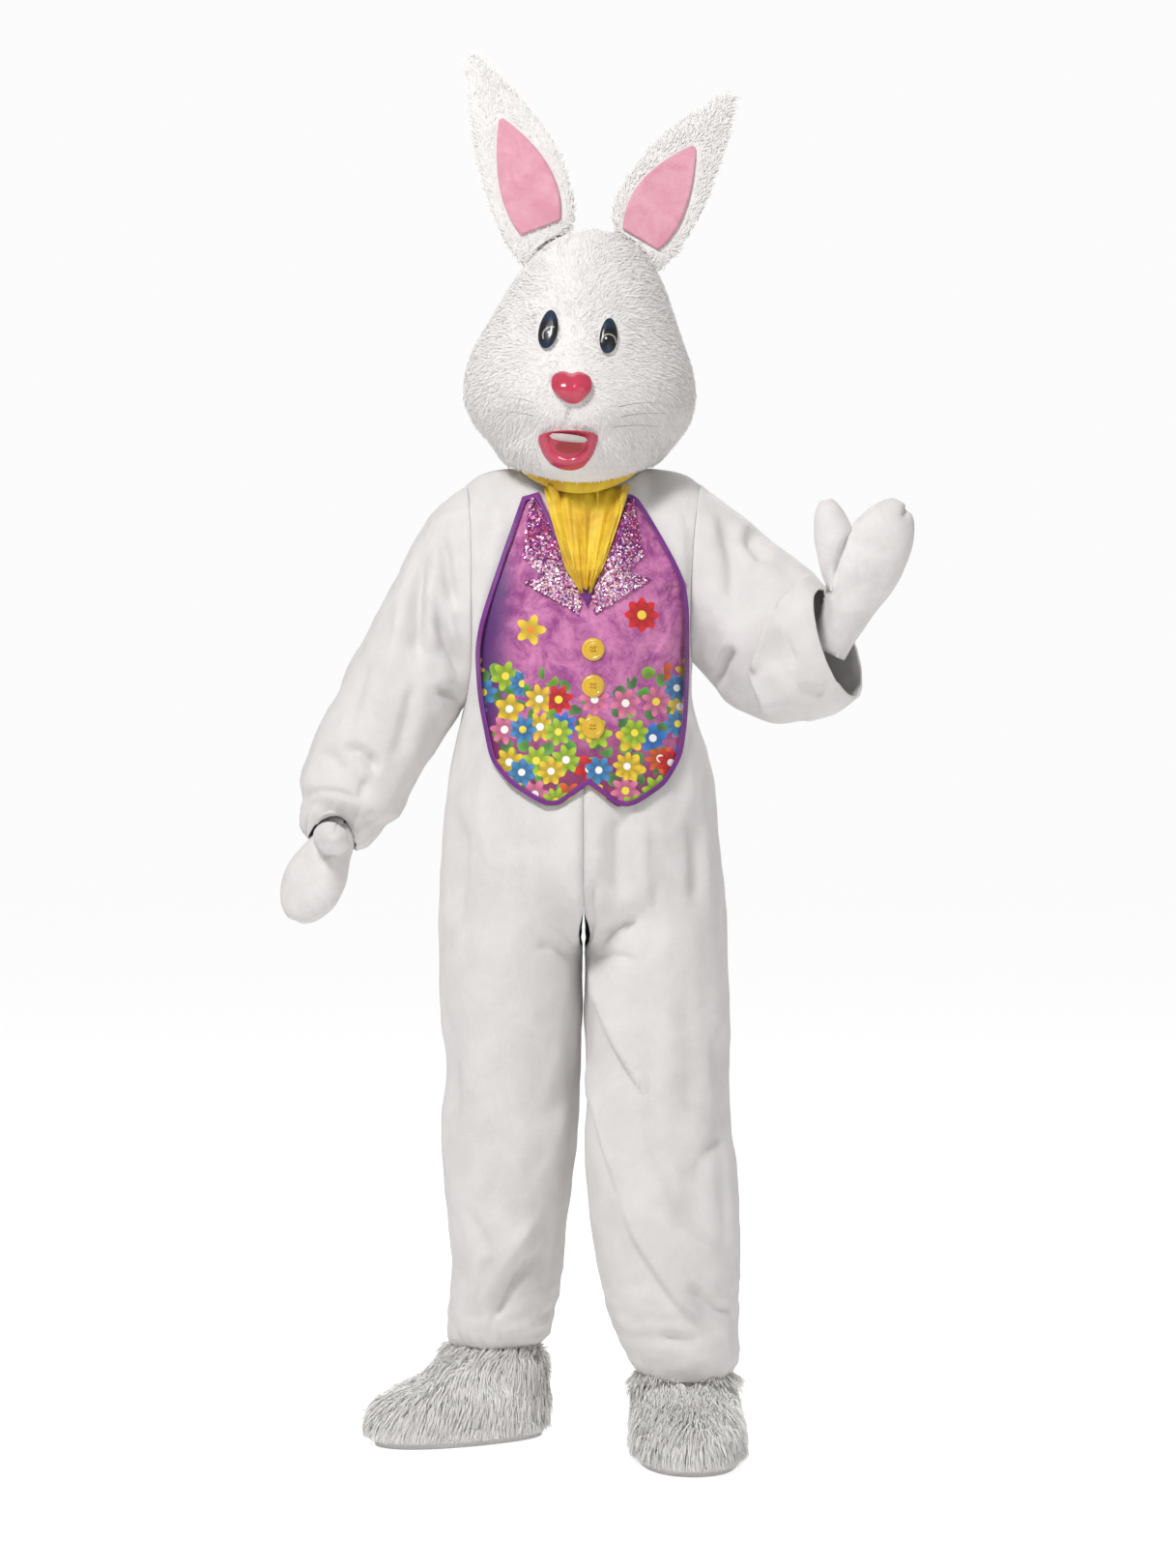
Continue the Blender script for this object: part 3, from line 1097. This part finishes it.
SEQUIN_COUNT = 1900
SEQUIN_RADIUS = 0.0017
SEQUIN_SIDES = 6
SEQUIN_LIGHTS = np.array([
    (0.9, 0.84, 0.88), (0.88, 0.56, 0.72), (0.78, 0.34, 0.64), (0.56, 0.22, 0.56),
    (0.93, 0.72, 0.56)])
SEQUIN_DARKS = np.array([
    (0.36, 0.02, 0.12), (0.26, 0.03, 0.26), (0.1, 0.03, 0.24), (0.48, 0.05, 0.17),
    (0.62, 0.13, 0.33)])
sequin_film = painted_material("sequin_film", 0.28, 0.4, metallic=0.35)
for number, side in enumerate(("left", "right")):
    name = f"lapel_{side}"
    lapel = copy_node(name, f"{name}_cloth", 1, lapel_ground)
    points = points_of(lapel)
    points[:, 1] -= VEST_LIFT
    set_points(lapel, points)
    random = np.random.default_rng(80 + number)
    roots, ways = sample_faces(lapel, SEQUIN_COUNT, random, lambda centres, ways: ways[:, 1] < -0.4)
    tilts = unit(ways + random.normal(0, 0.28, ways.shape))
    first = unit(np.cross(tilts, random.normal(0, 1, ways.shape)))
    second = np.cross(tilts, first)
    radii = SEQUIN_RADIUS * (0.65 + 0.6 * random.random(SEQUIN_COUNT))
    turns = np.arange(SEQUIN_SIDES) * 2 * math.pi / SEQUIN_SIDES
    middle = roots + ways * (0.0008 + 0.0008 * random.random((SEQUIN_COUNT, 1)))
    rims = middle[:, None] + radii[:, None, None] * (
        first[:, None] * np.cos(turns)[None, :, None] + second[:, None] * np.sin(turns)[None, :, None])
    mesh = bpy.data.meshes.new(f"{name}_sequins")
    faces = np.arange(SEQUIN_COUNT * SEQUIN_SIDES).reshape(-1, SEQUIN_SIDES)
    mesh.from_pydata(rims.reshape(-1, 3).tolist(), [], faces.tolist())
    mesh.materials.append(sequin_film)
    sequins = add_object(f"{name}_sequins", mesh)
    low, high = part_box(name)
    fall = (high.z - roots[:, 2]) / (high.z - low.z)
    pale_share = 0.2 + 0.55 * ease((fall - 0.3) / 0.4) + 0.15 * slow_noise(roots, (60, 60, 60), 17)
    pale = random.random(SEQUIN_COUNT) < pale_share
    choice = random.integers(0, len(SEQUIN_LIGHTS), SEQUIN_COUNT)
    colours = np.where(pale[:, None], SEQUIN_LIGHTS[choice], SEQUIN_DARKS[choice])
    paint_points(sequins, np.repeat(colours, SEQUIN_SIDES, axis=0))
    place_piece(lapel, name)
    place_piece(sequins)

BUTTON_MIDDLES = {1: 1.1745, 2: 1.1215, 3: 1.062}
BUTTON_X = 0.0075
BUTTON_RADIUS = 0.017
BUTTON_LIFT = 0.0042
button_plastic = glossy_material("button_plastic", (0.78, 0.48, 0.03), 0.3)
thread_yellow = satin_material("button_thread", (0.52, 0.27, 0.015), (0.4, 0.2, 0.01))
for number, height in BUTTON_MIDDLES.items():
    button = copy_node(f"button_{number}", f"button_{number}_plastic", 3, button_plastic)
    points = points_of(button)
    across, up = points[:, 0] - BUTTON_X, heights_of(points) - height
    far = np.hypot(across, up) / BUTTON_RADIUS
    face = ease((points_of(button, "normal")[:, 1] * -1 - 0.2) / 0.4)
    dish = -0.0016 * ease((0.74 - far) / 0.1)
    for hole_x, hole_z in ((-1, -1), (-1, 1), (1, -1), (1, 1)):
        near = np.hypot(across - hole_x * 0.0034, up - hole_z * 0.0024)
        dish -= 0.0014 * ease((0.0019 - near) / 0.0008)
    points[:, 1] -= dish * face + BUTTON_LIFT
    set_points(button, points)
    front = points[np.hypot(across, up) < 0.004][:, 1].min()
    stitches = []
    for hole_z in (-1, 1):
        bpy.ops.mesh.primitive_cylinder_add(
            vertices=10, radius=0.0006, depth=0.0072, rotation=(0, math.radians(90), 0),
            location=(BUTTON_X, front - 0.0001, height - HOLD_HEIGHT + hole_z * 0.0024))
        bpy.ops.object.transform_apply(location=True, rotation=True, scale=True)
        stitches.append(bpy.context.object)
    for stitch in stitches:
        stitch.select_set(True)
    thread = bpy.context.view_layer.objects.active = stitches[0]
    bpy.ops.object.join()
    thread.name = f"button_{number}_thread"
    thread.data.materials.append(thread_yellow)
    apply_modifier(thread, "BEVEL", width=0.0003, segments=2)
    thread.data.shade_smooth()
    place_piece(button, f"button_{number}")
    place_piece(thread)


# The studio: a pale floor, a white surround, soft lights from both sides, and the photograph's camera.
CAMERA_DISTANCE = 5.5
CAMERA_HEIGHT = 0.98
FOCAL_PIXELS = 3819
IMAGE_HEIGHT = 1622
SENSOR = 36.0
SURROUND_LIGHT = 0.32
FLOOR_GLOW = 0.2
FLOOR_SEEN = 0.68

bpy.ops.mesh.primitive_plane_add(size=60, location=(0, 0, cad_low.z - 0.0005))
floor = bpy.context.object
floor.name = "studio_floor"
floor_paint, tree, shader = start_material("studio_floor")
seen = add_node(tree, "LightPath").outputs["Is Camera Ray"]
glow = add_node(tree, "MapRange", Value=seen, To_Min=FLOOR_GLOW, To_Max=FLOOR_SEEN).outputs["Result"]
set_inputs(tree, shader, Base_Color=(0.9, 0.9, 0.9), Roughness=0.95, Specular_IOR_Level=0.1,
           Emission_Color=(1, 1, 1), Emission_Strength=glow)
floor.data.materials.append(floor_paint)
floor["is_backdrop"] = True

world = bpy.data.worlds.new("studio")
world.use_nodes = True
tree = world.node_tree
lighting = set_inputs(tree, tree.nodes["Background"], Color=(1, 1, 1), Strength=SURROUND_LIGHT)
seen = add_node(tree, "Background", Color=(1, 1, 1), Strength=0.97)
chooser = add_node(tree, "MixShader", Fac=add_node(tree, "LightPath").outputs["Is Camera Ray"])
feed(tree, chooser.inputs[1], lighting.outputs["Background"])
feed(tree, chooser.inputs[2], seen.outputs["Background"])
set_inputs(tree, tree.nodes["World Output"], Surface=chooser.outputs["Shader"])
bpy.context.scene.world = world
bpy.context.scene.view_settings.view_transform = "Standard"

Lamp = namedtuple("Lamp", "name place target size power")
LAMPS = [
    Lamp("key", (-1.5, -3.0, 3.0), (0, 0, -0.5), 1.0, 155),
    Lamp("fill", (2.8, -3.2, 0.4), (0, 0, -0.5), 2.4, 16),
    Lamp("back", (0.8, 3.2, 2.2), (0, 0, 0), 2.4, 110),
]
for lamp in LAMPS:
    light = bpy.data.lights.new(lamp.name, "AREA")
    light.size = lamp.size
    light.energy = lamp.power
    holder = add_object(lamp.name, light)
    holder.location = lamp.place
    aim = Vector(lamp.target) - Vector(lamp.place)
    holder.rotation_euler = aim.to_track_quat("-Z", "Y").to_euler()

camera_data = bpy.data.cameras.new("camera")
camera_data.sensor_width = SENSOR
camera_data.lens = FOCAL_PIXELS / IMAGE_HEIGHT * SENSOR
camera = add_object("camera", camera_data)
camera.location = (0, -CAMERA_DISTANCE, CAMERA_HEIGHT - HOLD_HEIGHT)
camera.rotation_euler = (math.radians(90), 0, 0)
bpy.context.scene.camera = camera

low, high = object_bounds()
